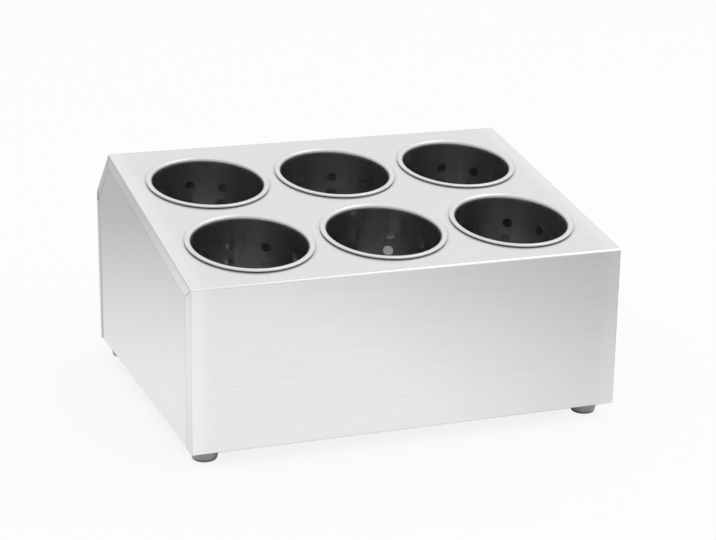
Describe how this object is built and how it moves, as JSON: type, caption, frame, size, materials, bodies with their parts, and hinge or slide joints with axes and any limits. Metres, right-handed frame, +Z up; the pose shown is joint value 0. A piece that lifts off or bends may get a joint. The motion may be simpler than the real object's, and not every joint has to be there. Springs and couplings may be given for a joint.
{
  "type": "cutlery dispenser",
  "caption": "Wedge-shaped stainless table-top cutlery dispenser: a folded housing with a sloping top and lift-out perforated cups in its round holes.",
  "frame": {"origin": "on the table, under the middle of the housing's width and depth", "axes": "+X to the right seen from the low front edge, +Y to the back, +Z up"},
  "size_m": [0.39, 0.3272, 0.2067],
  "materials": {
    "housing_sheet": "brushed along the width",
    "panel_sheet": "brushed along the depth",
    "cup_sheet": "polished satin",
    "cup_base_sheet": "satin",
    "foot_rubber": "matt grey",
    "fastener_steel": "bright"
  },
  "bodies": {
    "housing": {"housing_wrap": "housing_sheet", "left_side_panel": "panel_sheet", "right_side_panel": "panel_sheet", "foot_front_left": "foot_rubber", "foot_front_right": "foot_rubber", "foot_back_left": "foot_rubber", "foot_back_right": "foot_rubber", "foot_inner_washers": "fastener_steel", "foot_screws": "fastener_steel", "foot_washers": "fastener_steel", "foot_nuts": "fastener_steel"},
    "front_left_cup": {"cup_front_left": "cup_sheet", "cup_base_front_left": "cup_base_sheet"},
    "front_middle_cup": {"cup_front_middle": "cup_sheet", "cup_base_front_middle": "cup_base_sheet"},
    "front_right_cup": {"cup_front_right": "cup_sheet", "cup_base_front_right": "cup_base_sheet"},
    "back_left_cup": {"cup_back_left": "cup_sheet", "cup_base_back_left": "cup_base_sheet"},
    "back_middle_cup": {"cup_back_middle": "cup_sheet", "cup_base_back_middle": "cup_base_sheet"},
    "back_right_cup": {"cup_back_right": "cup_sheet", "cup_base_back_right": "cup_base_sheet"}
  },
  "joints": [
    {"name": "front_left_lift", "type": "slide", "parent": "housing", "child": "front_left_cup", "axis": [0, -0.1779, 0.984], "range_m": [0, 0.16]},
    {"name": "front_middle_lift", "type": "slide", "parent": "housing", "child": "front_middle_cup", "axis": [0, -0.1779, 0.984], "range_m": [0, 0.16]},
    {"name": "front_right_lift", "type": "slide", "parent": "housing", "child": "front_right_cup", "axis": [0, -0.1779, 0.984], "range_m": [0, 0.16]},
    {"name": "back_left_lift", "type": "slide", "parent": "housing", "child": "back_left_cup", "axis": [0, -0.1779, 0.984], "range_m": [0, 0.16]},
    {"name": "back_middle_lift", "type": "slide", "parent": "housing", "child": "back_middle_cup", "axis": [0, -0.1779, 0.984], "range_m": [0, 0.16]},
    {"name": "back_right_lift", "type": "slide", "parent": "housing", "child": "back_right_cup", "axis": [0, -0.1779, 0.984], "range_m": [0, 0.16]}
  ]
}
